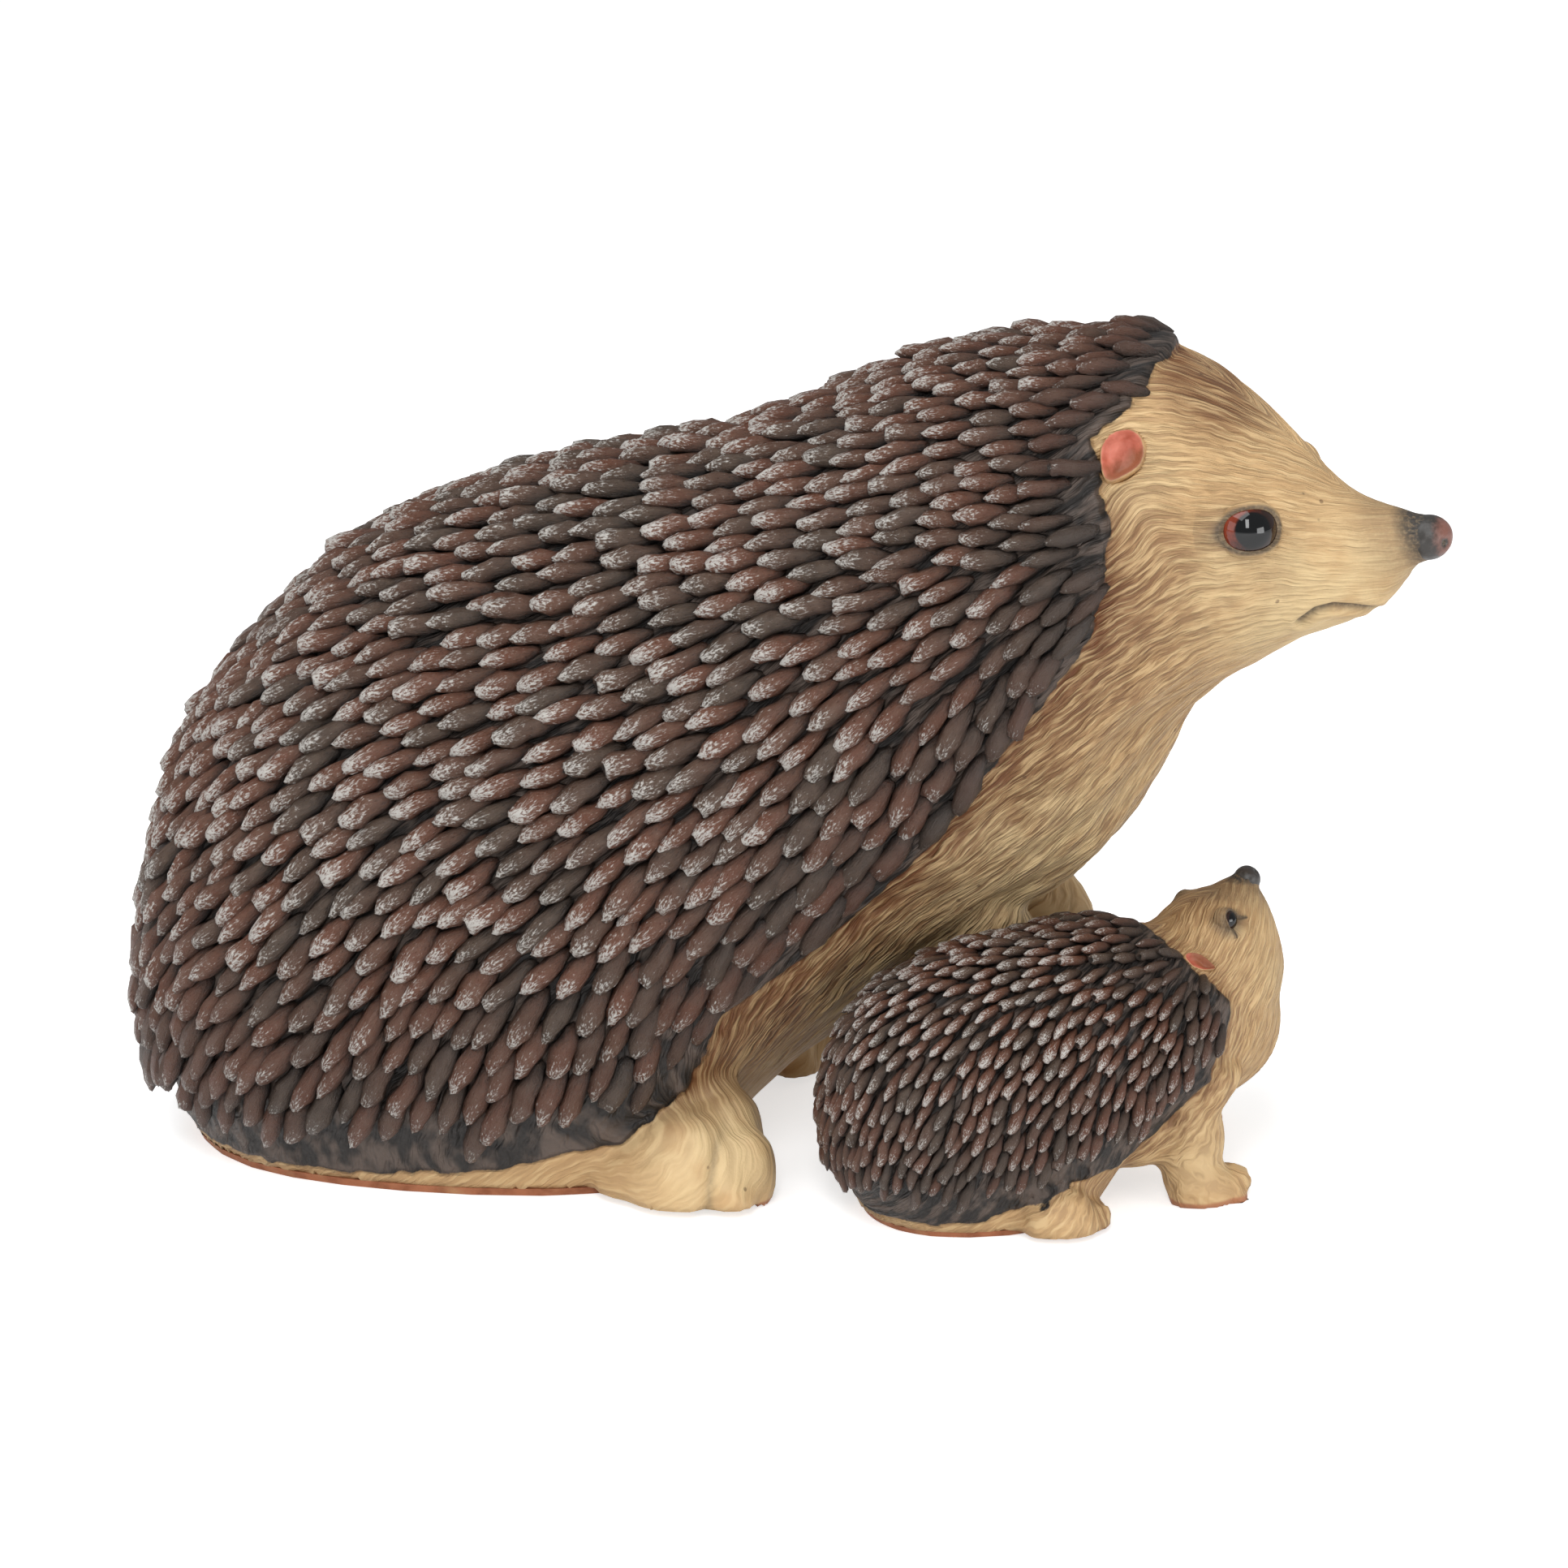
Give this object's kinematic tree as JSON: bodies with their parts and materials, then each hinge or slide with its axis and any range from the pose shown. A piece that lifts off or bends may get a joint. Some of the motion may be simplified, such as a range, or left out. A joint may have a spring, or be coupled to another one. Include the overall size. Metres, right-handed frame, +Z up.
{
  "type": "hedgehog figurine",
  "caption": "Painted cast-resin ornament of a seated mother hedgehog with raised snout and a baby hedgehog looking up at her side, on flat bases.",
  "frame": {"origin": "on the underside, on the ground, under the middle of the mother's back", "axes": "+X from the mother's rump to her muzzle, +Y to her left, +Z up"},
  "size_m": [0.2743, 0.1293, 0.1758],
  "materials": {
    "skin": "satin painted cast resin, cream with brown wash",
    "quills": "dark brown painted cast resin, dry-brushed silver grey",
    "bare_resin": "reddish-brown painted resin edge",
    "ears": "satin pinkish-red paint",
    "nose": "semi-gloss black paint",
    "eyes": "glossy dark brown inset eye"
  },
  "bodies": {
    "root": {"mother_body": "skin", "mother_base_plate": "bare_resin", "mother_quill_coat": "quills", "mother_head": "skin", "mother_nose": "nose", "mother_left_eye": "eyes", "mother_right_eye": "eyes", "mother_left_ear": "ears", "mother_right_ear": "ears", "mother_left_foreleg": "skin", "mother_right_foreleg": "skin", "mother_left_hind_foot": "skin", "mother_right_hind_foot": "skin", "baby_body": "skin", "baby_base_plate": "bare_resin", "baby_quill_coat": "quills", "baby_head": "skin", "baby_nose": "nose", "baby_left_eye": "eyes", "baby_right_eye": "eyes", "baby_left_ear": "ears", "baby_right_ear": "ears", "baby_left_foreleg": "skin", "baby_right_foreleg": "skin", "baby_left_hind_foot": "skin", "baby_right_hind_foot": "skin"}
  },
  "joints": []
}
